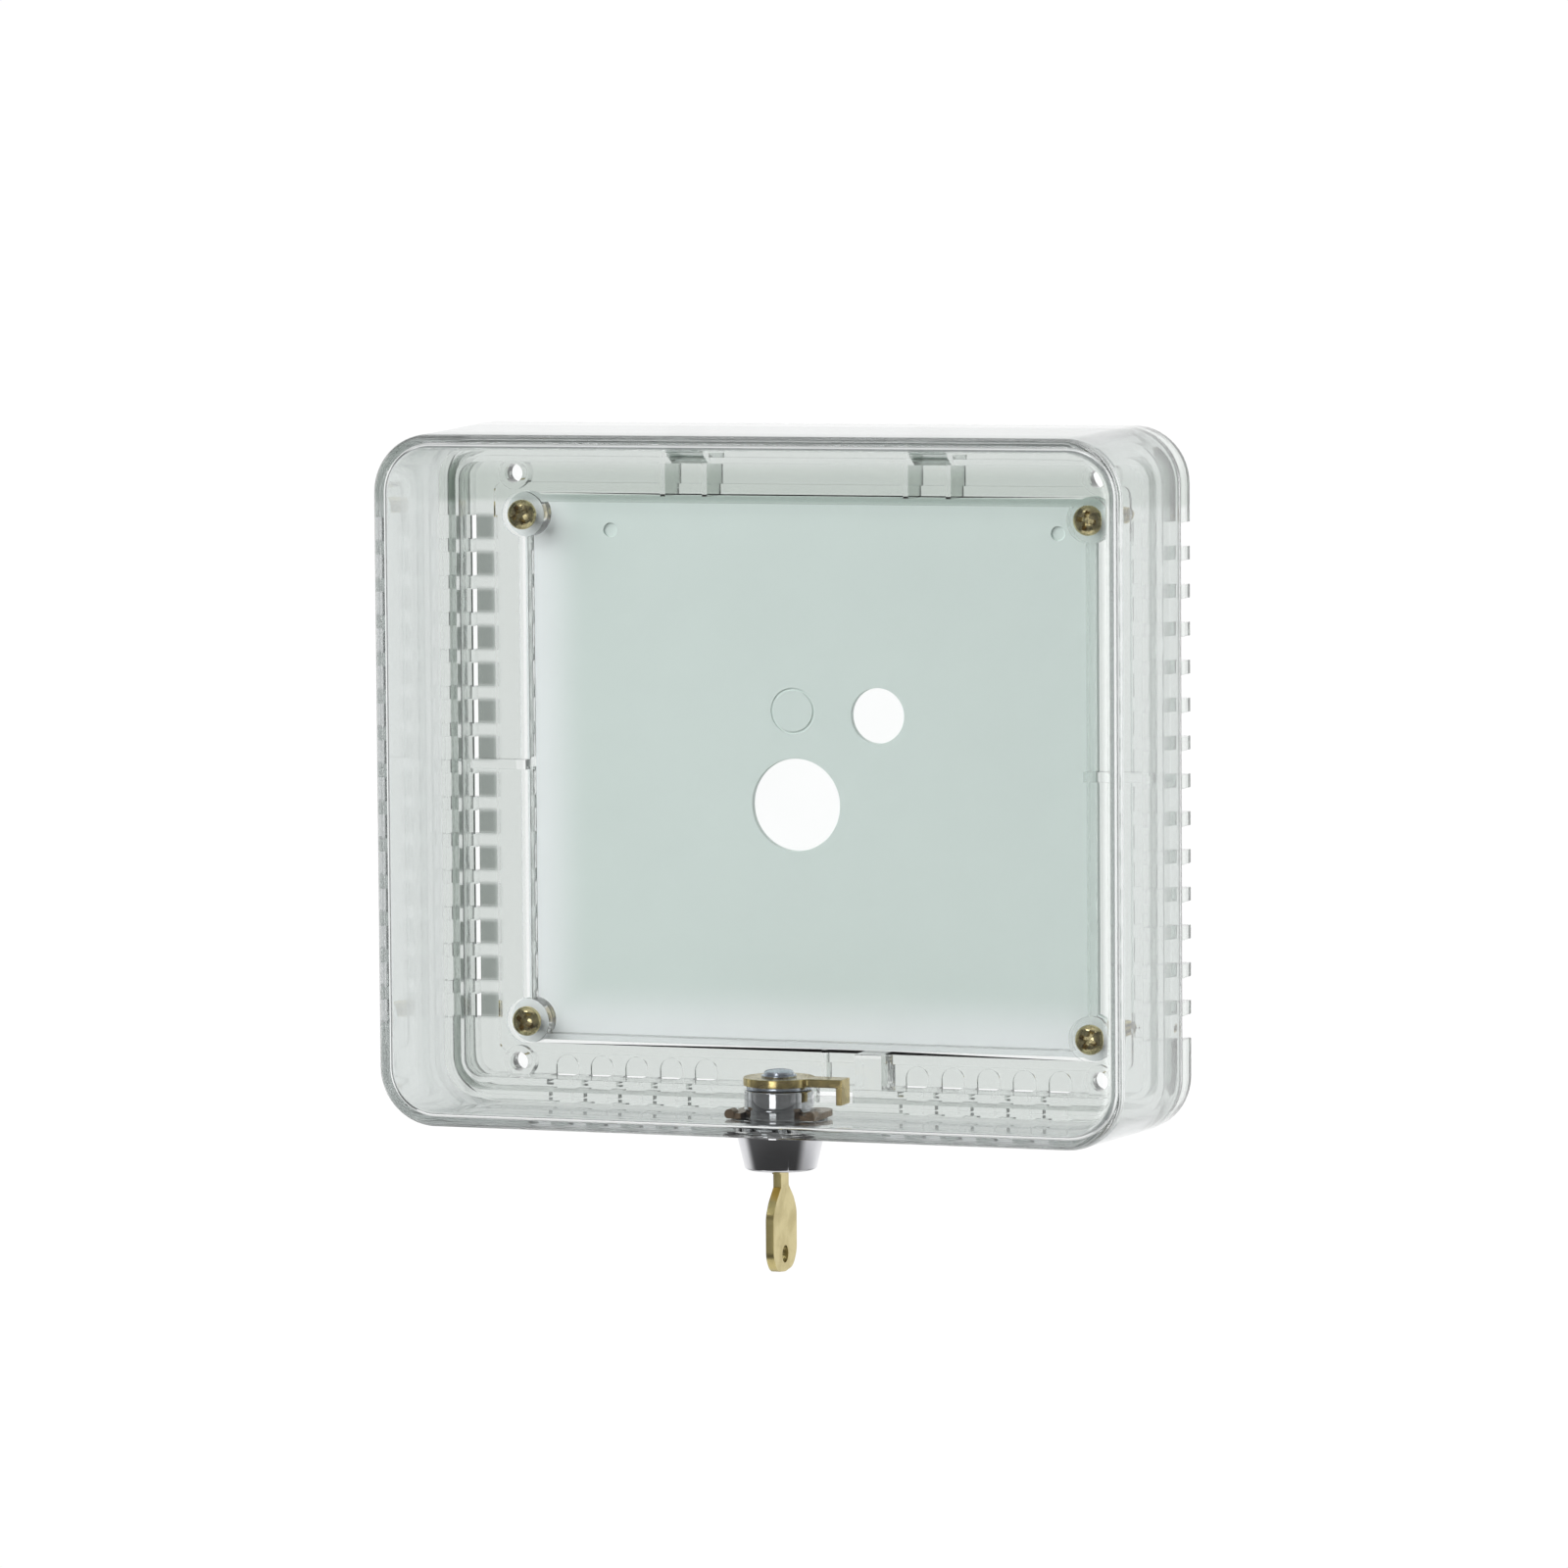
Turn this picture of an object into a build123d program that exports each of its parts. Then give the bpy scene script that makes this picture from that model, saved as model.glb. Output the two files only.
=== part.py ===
from build123d import *
import math
import os

os.makedirs("parts", exist_ok=True)

# Lockable clear guard for a manual call point or thermostat, millimetres.
# Origin: middle of the wall side, on the wall plane. +X right, +Z up, the front faces -Y.
# A depth is a distance in front of the wall, so depth d is y = -d.

# Outline
width = 187.3
height = 166.7
depth = 52.0
draft = 1.25            # how far each side leans in by the front face
corner_r = 13.5
front_edge_r = 3.0
fit_gap = 0.3           # between parts that only rest near each other

# Ring base
skirt_depth = 6.5       # the outer band that stands on the wall
skirt_t = 2.4
web_t = 2.0             # joins the skirt to the rim
rim_depth = 15.0
rim_inset = 4.05        # from the outline to the rim's outer wall
rim_w = 5.1
rim_wall = 1.8
rim_inner_wall = 1.5
rim_front_t = 2.4
floor_back = 2.0        # the floor starts this far off the wall, with the plate behind it
floor_t = 1.8
ledge_w = 5.2           # slotted floor between rim and plateau
plateau_depth = 5.4
lip_depth = 6.2
lip_w = 2.3
window_x = 70.3         # half sizes of the window
window_z = 64.3

# Vents
vent_pitch = 8.93
vent_gap = 5.7
vent_floor = 2.9        # the ledge stays closed in front of this depth
side_vents = 14
bottom_vent_steps = range(3, 8)

# Fixings
screw_x = 71.25
screw_z = 61.25
screw_r = 2.0           # thread, behind the wall plane
shank_r = 1.8           # plain shank, through the boss and the plate
thread_start = 0.5
screw_clear = 0.2
screw_head_r = 3.6
screw_head_t = 2.3
screw_reach = 20.0      # how far the shanks go into the wall
boss_r = 5.5
boss_depth = 7.0
post_x = 73.5           # spare fixing posts in the corners
post_z = 71.2
post_r = 3.9
post_bore_r = 2.3

# Wallplate
plate_t = 1.9
plate_overlap = 1.7
plate_corner_r = 4.0
ear_r = 5.5
wire_holes = {"lower": (-3.8, -7.8, 11.1), "upper": (16.9, 13.9, 6.65)}
dimples = [(-50.7, 57.5), (62.1, 57.8)]
dimple_r = 1.7
dimple_t = 0.5
gate_mark = (-4.5, 14.7)
gate_mark_r = 5.5
gate_mark_w = 0.5
gate_mark_t = 0.25

# Cover
cover_wall = 2.5
cover_back = skirt_depth + fit_gap
inner_edge_r = 1.2

# Hooks that the cover turns on, concentric with its top rear edge
hook_x = (-27.0, 34.0)
hook_w = 8.4
hook_r0 = 7.2
hook_r1 = 8.8
hook_root_deg = 12
hook_tip_deg = 78
hook_gap = 0.45
cheek_t = 1.3

# Lock
lock_depth = 26.0
barrel_r = 8.3
barrel_top = -73.2
seat_z = -83.4
collar_r = 10.45
collar_face_r = 8.7
face_z = -92.2
pad_r = 11.6
pad_top = -79.9
plug_r = 5.8
plug_head_r = 6.5
plug_head_t = 1.2
running = 0.05
tail = 5.9
key_t = 2.0
key_w = 7.0
keyway_gap = 0.1
key_tip_z = -75.5
wafer_t = 1.0
wafer_pitch = 2.7
wafer_first_z = -88.2
wafer_count = 5
wafer_hx = 2.6
wafer_hy = 5.1
wafer_travel = 0.7
spring_x = -3.5
spring_r = 0.52
spring_wire_r = 0.11
spring_turns = 5
cam_r = 8.5
cam_t = 2.0
lever_reach = 16.7
lever_w = 6.0
lip_t = 1.5
lip_drop = 4.1
washer_t = 0.8
clip_t = 1.4

hinge = (-skirt_depth, height / 2)      # y, z of the cover's axis
lock_at = Pos(0, -lock_depth, 0)
ledge_inset = rim_inset + rim_w
rim_in_x = width / 2 - ledge_inset      # inner faces of the rim
rim_in_z = height / 2 - ledge_inset
slot_end_x = rim_in_x - ledge_w


def save(shape, name, colour):
    shape.label = name
    shape.color = Color(*colour)
    export_step(shape, "parts/" + name + ".step")


def prism(profile, d0, d1):
    # a flat profile drawn as the front sees it, filled between two depths
    return extrude(Plane.XZ.offset(d0) * profile, d1 - d0)


def block(x0, x1, z0, z1, d0, d1):
    return Pos((x0 + x1) / 2, -(d0 + d1) / 2, (z0 + z1) / 2) * Box(x1 - x0, d1 - d0, z1 - z0)


def outline(inset):
    return RectangleRounded(width - 2 * inset, height - 2 * inset, corner_r - inset if inset < 11 else 2.5)


def band(inset, t, d0, d1):
    return prism(outline(inset) - outline(inset + t), d0, d1)


def upright(radius, z0, z1):
    # a cylinder about the lock's axis
    return lock_at * Pos(0, 0, (z0 + z1) / 2) * Cylinder(radius, z1 - z0)


def lock_block(x, y, z0, z1, x_at=0, y_at=0):
    return lock_at * Pos(x_at, y_at, (z0 + z1) / 2) * Box(x, y, z1 - z0)


def sector(r0, r1, a0, a1):
    outer = CenterArc((0, 0), r1, a0, a1 - a0)
    inner = CenterArc((0, 0), r0, a0, a1 - a0)
    return make_face(Curve() + [outer, inner, Line(outer @ 0, inner @ 0), Line(outer @ 1, inner @ 1)])


def hinge_sector(x, w, r0, r1, from_deg, to_deg):
    # an arc about the cover's axis; 0 degrees points to the front and 90 degrees points down
    face = Plane.YZ.offset(x - w / 2) * Pos(*hinge) * sector(r0, r1, 180 + from_deg, 180 + to_deg)
    return extrude(face, w)


def screw_places():
    return [(x, z) for x in (-screw_x, screw_x) for z in (-screw_z, screw_z)]


# ---- ring base: skirt, hollow rim, slotted ledge, plateau and lip ----
ring = band(0, skirt_t, 0, skirt_depth)
ring += band(skirt_t, rim_inset + rim_wall - skirt_t, skirt_depth - web_t, skirt_depth)
ring += band(rim_inset, rim_wall, floor_back, rim_depth)
ring += band(rim_inset, rim_w, rim_depth - rim_front_t, rim_depth)
ring += band(ledge_inset - rim_inner_wall, rim_inner_wall, floor_back, rim_depth)
window = RectangleRounded(2 * window_x, 2 * window_z, 2.0)
lip_outline = RectangleRounded(2 * (window_x + lip_w), 2 * (window_z + lip_w), 3.0)
ring += prism(outline(ledge_inset) - window, floor_back, floor_back + floor_t)
ring += prism(outline(ledge_inset + ledge_w) - window, floor_back, plateau_depth)
ring += prism(lip_outline - window, floor_back, lip_depth)

for x, z in screw_places():
    ring += prism(Pos(x, z) * Circle(boss_r), floor_back, boss_depth)
    post = Pos(math.copysign(post_x, x), math.copysign(post_z, z)) * Circle(post_r)
    ring += prism(post, floor_back, boss_depth)
for side in (-1, 1):
    x0, x1 = sorted((side * window_x, side * (rim_in_x + 0.5)))
    ring += block(x0, x1, -0.2, 2.2, floor_back, 9.0)

# cheeks beside the hook slots, on the ledge under the top of the rim
for x in hook_x:
    for side in (-1, 1):
        edge = x + side * (hook_w / 2 + hook_gap)
        x0, x1 = sorted((edge, edge + side * cheek_t))
        ring += block(x0, x1, window_z + 2, rim_in_z + rim_w - 1, floor_back, rim_depth)
    slot = hinge_sector(x, hook_w + 2 * hook_gap, hook_r0 - hook_gap, hook_r1 + hook_gap, -5, 95)
    ring -= slot

# strike for the lock cam: a gap in the rim's front and a pocket behind the keeper
strike_x0 = 5.5
strike_x1 = 14.5
pocket_x0 = -5.0
pocket_back = 8.0
keeper_back = rim_depth - rim_front_t
pocket_low = -height / 2 + rim_inset + rim_wall
pocket_high = 0.5 - rim_in_z
ring += block(strike_x1 + 0.3, strike_x1 + 7, pocket_high - 1, -window_z - 1.5, floor_back, rim_depth - 1)
ring += block(strike_x0 - 1.3, strike_x0, pocket_high - 1, -window_z - 1.5, floor_back, pocket_back - 0.5)
ring -= block(strike_x0, strike_x1, pocket_low, pocket_high, pocket_back, rim_depth + 1)
ring -= block(pocket_x0, strike_x1, pocket_low, pocket_high, pocket_back, keeper_back)

# Vents run through the skirt, behind the web and through the rim; behind the ledge they are blind.
# Each step is how far in from the outline it starts and ends, and how deep it is cut.
web_back = skirt_depth - web_t
vent_steps = [(-1, skirt_t, skirt_depth), (skirt_t - 0.1, ledge_inset - 1, web_back),
              (rim_inset + rim_wall, ledge_inset, skirt_depth)]
for i in range(side_vents):
    z = vent_pitch * (i - (side_vents - 1) / 2)
    steps = vent_steps + [(ledge_inset - 0.1, width / 2 - slot_end_x, vent_floor)]
    for near, far, cut_depth in steps:
        for side in (-1, 1):
            x0, x1 = sorted((side * (width / 2 - near), side * (width / 2 - far)))
            ring -= block(x0, x1, z - vent_gap / 2, z + vent_gap / 2, -1, cut_depth)

# bottom vents are the same, with round inner ends
vent_end_z = -rim_in_z + ledge_w - vent_gap / 2 - 0.6
vent_face = Pos(0, (vent_end_z - height / 2) / 2) * Rectangle(vent_gap, vent_end_z + height / 2)
vent_face += Pos(0, vent_end_z) * Circle(vent_gap / 2)
for k in bottom_vent_steps:
    for side in (-1, 1):
        x = side * k * vent_pitch
        ring -= prism(Pos(x, 0) * vent_face, -1, vent_floor)
        for near, far, cut_depth in vent_steps:
            low, high = near - height / 2, far - height / 2
            ring -= block(x - vent_gap / 2, x + vent_gap / 2, low, high, -1, cut_depth)

for x, z in screw_places():
    ring -= prism(Pos(x, z) * Circle(screw_r + screw_clear), 0, boss_depth)
    bore = Pos(math.copysign(post_x, x), math.copysign(post_z, z)) * Circle(post_bore_r)
    ring -= prism(bore, 0, boss_depth)
save(ring, "ring_base", (0.80, 0.86, 0.84, 0.4))

# ---- wallplate: opaque backing in the window, with ears under the screw bosses ----
plate_x = window_x + plate_overlap
plate_z = window_z + plate_overlap
plate_face = RectangleRounded(2 * plate_x, 2 * plate_z, plate_corner_r)
for x, z in screw_places():
    plate_face += Pos(x, z) * Circle(ear_r)
plate = prism(plate_face, 0, plate_t)
for x, z, r in wire_holes.values():
    plate -= prism(Pos(x, z) * Circle(r), 0, plate_t)
for x, z in screw_places():
    plate -= prism(Pos(x, z) * Circle(screw_r + screw_clear), 0, plate_t)
for x, z in dimples:
    plate -= prism(Pos(x, z) * Circle(dimple_r), plate_t - dimple_t, plate_t)
mark = Pos(*gate_mark) * (Circle(gate_mark_r) - Circle(gate_mark_r - gate_mark_w))
plate -= prism(mark, plate_t - gate_mark_t, plate_t)
save(plate, "wallplate", (0.76, 0.81, 0.79, 1))


# ---- mounting screws: pan heads with a cross recess, shanks go on into the wall ----
def pan_screw(x, z):
    head = prism(Circle(screw_head_r), boss_depth, boss_depth + screw_head_t)
    front = head.faces().sort_by(Axis.Y)[0]
    head = fillet(front.edges(), 1.5)
    cut_d = boss_depth + screw_head_t - 1.0
    for w, h in ((0.9, 4.6), (4.6, 0.9)):
        head -= prism(Rectangle(w, h), cut_d, boss_depth + screw_head_t + 1)
    shank = prism(Circle(shank_r), -thread_start, boss_depth)
    shank += prism(Circle(screw_r), -screw_reach, -thread_start)
    tip = Plane.XZ.offset(-screw_reach) * Pos(0, 0, -1.5) * Cone(0.4, screw_r, 3.0)
    return Pos(x, 0, z) * (head + shank + tip)


screws = Compound(children=[pan_screw(x, z) for x, z in screw_places()])
save(screws, "mounting_screws", (0.80, 0.68, 0.38, 1))


# ---- cover: a drafted box open at the back, hooks at the top, a lock seat at the bottom ----
def cover_skin(inset, d0, d1, r, edge_r):
    sections = []
    for d in (d0, d1):
        lean = draft * (d - skirt_depth) / (depth - skirt_depth)
        size = (width - 2 * (inset + lean), height - 2 * (inset + lean))
        sections.append(Plane.XZ.offset(d) * RectangleRounded(*size, r))
    skin = loft(Sketch() + sections)
    front = skin.faces().sort_by(Axis.Y)[0]
    return fillet(front.edges(), edge_r)


cover = cover_skin(0, cover_back, depth, corner_r, front_edge_r)
cover -= cover_skin(cover_wall, cover_back, depth - cover_wall, corner_r - cover_wall, inner_edge_r)
for x in hook_x:
    cover += hinge_sector(x, hook_w, hook_r0, hook_r1, hook_root_deg, hook_tip_deg)
cover += upright(pad_r, seat_z, pad_top)
cover -= upright(barrel_r + 0.1, seat_z - 1, pad_top + 1)
save(cover, "cover_shell", (0.80, 0.86, 0.84, 0.3))

# ---- lock housing: tapered collar under the cover, barrel through its bottom wall ----
collar = Polyline((0, seat_z), (collar_r, seat_z), (collar_r, seat_z - 0.9),
                  (collar_face_r, face_z + 0.7), (collar_face_r - 0.7, face_z), (0, face_z), close=True)
housing = lock_at * revolve(Plane.XZ * make_face(collar), Axis.Z)
housing += upright(barrel_r, seat_z, barrel_top)
housing -= upright(plug_r + running, face_z, barrel_top)
housing -= upright(plug_head_r + running, face_z, face_z + plug_head_t + 0.3)
wafer_low = wafer_first_z - wafer_t / 2 - 0.3
wafer_high = wafer_first_z + wafer_pitch * (wafer_count - 1) + wafer_t / 2 + 0.3
reach = 2 * (wafer_hy + wafer_travel + 0.75)
for size in ((2 * wafer_hx + 0.3, reach), (reach, 2 * wafer_hx + 0.3)):
    housing -= lock_block(*size, wafer_low, wafer_high)
for side in (-1, 1):
    housing -= lock_block(3, 20, pad_top, pad_top + clip_t, x_at=side * (7.4 + 1.5))
housing -= upright(barrel_r + 1, -77.7, -77.2) - upright(barrel_r - 0.3, -77.7, -77.2)
save(housing, "lock_housing", (0.75, 0.76, 0.78, 1))

# ---- lock plug, with keyway, wafer slots and spring pockets ----
plug_face = face_z + 0.2
plug = upright(plug_r, plug_face, barrel_top)
plug += upright(plug_head_r, plug_face, plug_face + plug_head_t)
cam_low = barrel_top + 0.2 + washer_t
cam_high = cam_low + cam_t
plug += lock_block(tail, tail, barrel_top, cam_high - 0.1)
keyway_x = key_t + 2 * keyway_gap
plug -= lock_block(keyway_x, key_w + 2 * keyway_gap, plug_face, key_tip_z + 0.3)
slot_t = wafer_t + 0.16
wafer_zs = [wafer_first_z + wafer_pitch * i for i in range(wafer_count)]
for z in wafer_zs:
    plug -= lock_block(2 * wafer_hx + 0.1, 14, z - slot_t / 2, z + slot_t / 2)
    pocket_y0 = -3.5
    pocket_y1 = 1.4
    plug -= lock_block(2.0, pocket_y1 - pocket_y0, z - 0.75, z + 0.75,
                       x_at=-3.3, y_at=(pocket_y0 + pocket_y1) / 2)
cam_screw_r = 1.5
cam_screw_end = -74.4
plug -= upright(cam_screw_r + 0.05, cam_screw_end - 0.2, cam_high + 1)
save(plug, "lock_plug", (0.80, 0.70, 0.42, 1))

# ---- wafers and their springs ----
wafer_tab_y = 0.4
for i, z in enumerate(wafer_zs, start=1):
    wafer = lock_block(2 * wafer_hx, 2 * wafer_hy, z - wafer_t / 2, z + wafer_t / 2)
    wafer += lock_block(1.7, 2 * wafer_tab_y, z - wafer_t / 2, z + wafer_t / 2, x_at=-wafer_hx - 0.75)
    wafer -= lock_block(key_t + 0.4, 8.4, z - wafer_t, z + wafer_t)
    save(wafer, "wafer_" + str(i), (0.82, 0.72, 0.45, 1))
    spring_y0 = pocket_y0 + spring_wire_r + 0.05
    spring_len = -wafer_tab_y - spring_wire_r - 0.05 - spring_y0
    coil = Helix(spring_len / spring_turns, spring_len, spring_r)
    wire = Plane(origin=coil @ 0, z_dir=coil % 0) * Circle(spring_wire_r)
    spring = sweep(wire, path=coil, is_frenet=True)
    spring = lock_at * Pos(spring_x, spring_y0, z) * Rot(-90, 0, 0) * spring
    save(spring, "wafer_spring_" + str(i), (0.7, 0.7, 0.72, 1))

# ---- cam stack on top of the plug ----
stop = upright(7.8, barrel_top + 0.2, cam_low) - lock_block(tail + 0.1, tail + 0.1, -80, -60)
save(stop, "stop_washer", (0.72, 0.73, 0.75, 1))

cam = upright(cam_r, cam_low, cam_high)
cam += lock_block(lever_reach, lever_w, cam_low, cam_high, x_at=lever_reach / 2)
cam += lock_block(lip_t, lever_w, cam_low - lip_drop, cam_low, x_at=lever_reach - lip_t / 2)
cam -= lock_block(tail + 0.1, tail + 0.1, -80, -60)
save(cam, "lock_cam", (0.82, 0.70, 0.38, 1))

crown = upright(4.2, cam_high, cam_high + 0.5) - upright(cam_screw_r + 0.1, cam_high, cam_high + 0.5)
save(crown, "spring_washer", (0.7, 0.7, 0.72, 1))

head_low = cam_high + 0.5
head_high = head_low + 1.3
cam_screw = upright(3.5, head_low, head_high)
cam_screw = fillet(cam_screw.edges().sort_by(Axis.Z)[-1], 0.6)
cam_screw -= lock_block(0.9, 8, head_high - 0.6, head_high + 1)
cam_screw += upright(cam_screw_r, cam_screw_end, head_low)
save(cam_screw, "cam_screw", (0.7, 0.72, 0.76, 1))

# ---- retaining clip: a flat U pushed into the barrel's flats, with rolled ends ----
clip_in = 7.45
clip_out = 11.0
clip_mouth = -6.5
clip_root = 10.2
clip_z = pad_top + clip_t
clip = lock_block(2 * clip_out, clip_root - clip_mouth, pad_top, clip_z, y_at=(clip_root + clip_mouth) / 2)
clip = fillet(clip.edges().filter_by(Axis.Z).sort_by(Axis.Y)[-2:], 4.0)
clip -= lock_block(2 * clip_in, -2 * clip_mouth, pad_top, clip_z)
clip -= upright(barrel_r + 0.15, pad_top, clip_z) & lock_block(2 * clip_in, 30, pad_top, clip_z, y_at=15)
for side in (-1, 1):
    roll = lock_at * Pos(side * (clip_out - 0.9), clip_mouth + 1.2, pad_top + 1.2)
    clip += roll * Rot(90, 0, 0) * Cylinder(1.2, 3.4)
save(clip, "retaining_clip", (0.35, 0.27, 0.18, 1))

# ---- key: its blade fills the keyway and the bow hangs below ----
neck_z = -96.4
bow_hy = 8.2
bow_low = -116.8
bow_round = 4.6
bow_hole_z = -112.6
bow_hole_r = 2.05
tip_chamfer = 2.2
blade = Polyline((-key_w / 2, face_z - 1), (-key_w / 2, key_tip_z - tip_chamfer),
                 (-1.0, key_tip_z), (1.0, key_tip_z), (key_w / 2, key_tip_z - tip_chamfer),
                 (key_w / 2, face_z - 1), close=True)
key_face = make_face(blade)
for z in wafer_zs[1:]:
    key_face -= Pos(key_w / 2 + 0.3, z - wafer_pitch / 2) * Circle(0.9)
key_face += Pos(0, (face_z + neck_z) / 2 - 1) * Rectangle(5.4, face_z - neck_z + 2)
bow = Polyline((-2.7, neck_z), (-6.2, neck_z - 3.2), (-bow_hy, neck_z - 6.4), (-bow_hy, bow_low + 4.0),
               (-5.6, bow_low + 0.6), (0, bow_low), (5.6, bow_low + 0.6), (bow_hy, bow_low + 4.0),
               (bow_hy, neck_z - 6.4), (6.2, neck_z - 3.2), (2.7, neck_z), close=True)
bow_face = make_face(bow)
bow_face = fillet(bow_face.vertices().filter_by(lambda v: v.Z < neck_z - 1 or v.Y < neck_z - 1), bow_round)
key_face += bow_face
key_face -= Pos(0, bow_hole_z) * Circle(bow_hole_r)
key = lock_at * extrude(Plane.YZ.offset(-key_t / 2) * key_face, key_t)
save(key, "key", (0.80, 0.70, 0.42, 1))
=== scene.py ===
import math
import bmesh
import bpy
import numpy as np
from mathutils import Matrix, Vector


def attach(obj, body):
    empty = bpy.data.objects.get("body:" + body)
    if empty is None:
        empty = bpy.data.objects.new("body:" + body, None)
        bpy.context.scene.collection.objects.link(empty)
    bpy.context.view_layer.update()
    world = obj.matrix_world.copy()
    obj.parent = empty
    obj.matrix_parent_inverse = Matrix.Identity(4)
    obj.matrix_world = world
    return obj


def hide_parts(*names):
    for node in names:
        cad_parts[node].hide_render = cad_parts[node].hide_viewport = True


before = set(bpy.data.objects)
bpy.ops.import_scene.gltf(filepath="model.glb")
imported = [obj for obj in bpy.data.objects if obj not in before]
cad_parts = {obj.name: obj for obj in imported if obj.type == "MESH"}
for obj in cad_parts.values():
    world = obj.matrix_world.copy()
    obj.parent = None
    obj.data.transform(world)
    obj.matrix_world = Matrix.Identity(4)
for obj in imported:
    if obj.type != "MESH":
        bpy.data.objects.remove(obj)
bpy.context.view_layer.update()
mm = 0.001
tau = 2 * math.pi
scene = bpy.context.scene


def report(stage):
    print("guard:", stage)


class Wire:
    # wraps one socket, so that sums and products of masks add their own Math nodes
    def __init__(self, tree, socket):
        self.tree = tree
        self.socket = socket

    def math(self, operation, *others):
        return shaderNode(self.tree, "ShaderNodeMath", {"operation": operation}, [self, *others])

    def __add__(self, other):
        return self.math("ADD", other)

    def __sub__(self, other):
        return self.math("SUBTRACT", other)

    def __rsub__(self, other):
        return shaderNode(self.tree, "ShaderNodeMath", {"operation": "SUBTRACT"}, [other, self])

    def __mul__(self, other):
        return self.math("MULTIPLY", other)

    def __truediv__(self, other):
        return self.math("DIVIDE", other)

    __radd__ = __add__
    __rmul__ = __mul__

    def ramp(self, low, high, first=0.0, last=1.0):
        # smooth step from first to last between low and high
        settings = {"interpolation_type": "SMOOTHSTEP"}
        return shaderNode(self.tree, "ShaderNodeMapRange", settings, [self, low, high, first, last])


def shaderNode(tree, kind, settings=None, values=(), out=0):
    # adds one node: settings are its own properties, values go to its sockets by place or by name
    node = tree.nodes.new(kind)
    for key, value in (settings or {}).items():
        setattr(node, key, value)
    pairs = values.items() if isinstance(values, dict) else enumerate(values)
    for key, value in pairs:
        if isinstance(value, Wire):
            tree.links.new(value.socket, node.inputs[key])
        elif value is not None:
            node.inputs[key].default_value = value
    return Wire(tree, node.outputs[out])


def objectPlace(tree):
    return shaderNode(tree, "ShaderNodeTexCoord", out=3)


def splitPlace(tree, place):
    node = tree.nodes.new("ShaderNodeSeparateXYZ")
    tree.links.new(place.socket, node.inputs[0])
    return [Wire(tree, node.outputs[i]) for i in range(3)]


def noise(tree, place, scale, detail=3.0, roughness=0.55):
    values = {"Vector": place, "Scale": scale, "Detail": detail, "Roughness": roughness}
    return shaderNode(tree, "ShaderNodeTexNoise", {}, values)


def mixColours(tree, factor, first, second):
    node = tree.nodes.new("ShaderNodeMix")
    node.data_type = "RGBA"
    for key, value in ((0, factor), (6, first), (7, second)):
        if isinstance(value, Wire):
            tree.links.new(value.socket, node.inputs[key])
        else:
            node.inputs[key].default_value = value if key == 0 else (*value, 1.0)
    return Wire(tree, node.outputs[2])


def newMaterial(name, fixed):
    # a Principled material whose fixed numbers sit on its own sockets
    material = bpy.data.materials.new(name)
    material.use_nodes = True
    tree = material.node_tree
    shader = tree.nodes["Principled BSDF"]
    for key, value in fixed.items():
        shader.inputs[key].default_value = (*value, 1.0) if key == "Base Color" else value
    return material, tree, shader


def feed(tree, wire, shader, socket):
    tree.links.new(wire.socket, shader.inputs[socket])


def addBump(tree, shader, height, strength, distance):
    values = {"Height": height, "Strength": strength, "Distance": distance}
    feed(tree, shaderNode(tree, "ShaderNodeBump", {}, values), shader, "Normal")


def facing(tree):
    # 0 where the surface faces the eye, 1 where it turns away
    return shaderNode(tree, "ShaderNodeLayerWeight", {}, {"Blend": 0.5}, out=1)


def clearPlastic(name, look):
    # polished clear moulding: painted shade greys it away from its clear zone and darkens it where it
    # turns away, faint swirl
    fixed = {"IOR": look["ior"], "Transmission Weight": 1.0, "Roughness": look["polish"]}
    material, tree, shader = newMaterial(name, fixed)
    place = objectPlace(tree)
    x, y, z = splitPlace(tree, place)
    cloud = noise(tree, place, look["cloudScale"]) * look["cloud"]
    # painted shade: the grey tint away from the clear zone
    tint = mixColours(tree, look["zone"](x, y, z), look["clear"], look["zoneShade"])
    tint = mixColours(tree, cloud, tint, look["dark"])
    # painted shadow in the vent pockets
    if "pocket" in look:
        tint = mixColours(tree, look["pocket"](x, y, z), tint, look["pocketColour"])
    # painted shade from the look's shaded mask
    if "shaded" in look:
        tint = mixColours(tree, look["shaded"](x, y, z) * look["shadeShare"], tint, look["shadeColour"])
    # painted shade: darker where the surface turns away from the eye
    edge = facing(tree).ramp(look["turnFrom"], look["turnTo"]) * look["turnShare"]
    feed(tree, mixColours(tree, edge, tint, look["turnShadeColour"]), shader, "Base Color")
    swirl = noise(tree, place, look["swirlScale"], 1.5)
    addBump(tree, shader, swirl, look["swirl"], look["swirlHeight"])
    return material


# where the clear pieces change tone, all of it painted shade: each pair is the start and the end of one
# smooth change
coverMarks = {
    "front": (-50.5 * mm, -48.5 * mm), "lip": (-7.9 * mm, -7.2 * mm), "top": (81.0 * mm, 81.9 * mm),
    "topShare": 0.6, "edgeFront": (-49.45 * mm, -49.2 * mm), "edgeRear": (-48.4 * mm, -47.9 * mm),
    "insideX": (90.2 * mm, 90.6 * mm), "insideZ": (79.9 * mm, 80.3 * mm),
}
baseMarks = {
    "ledgeTop": (63.5 * mm, 65.5 * mm), "ledgeEnd": (70 * mm, 76 * mm), "plateX": (72.4 * mm, 73.0 * mm),
    "plateZ": (66.4 * mm, 67.0 * mm), "screwX": 71.25 * mm, "screwZ": 61.25 * mm,
    "boss": (5.3 * mm, 5.8 * mm), "pocketIn": (78.2 * mm, 81.2 * mm), "pocketOut": (84.4 * mm, 86.2 * mm),
    "ventPitch": 8.93 * mm, "ventHalf": (0.22, 0.42), "ventEnd": (61.5 * mm, 62.5 * mm),
    "pocketBack": (-7 * mm, -5 * mm),
}


def fade(wire, ends):
    # the ramp turned round: 1 at the start, 0 at the end
    return wire.ramp(*ends, 1.0, 0.0)


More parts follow.
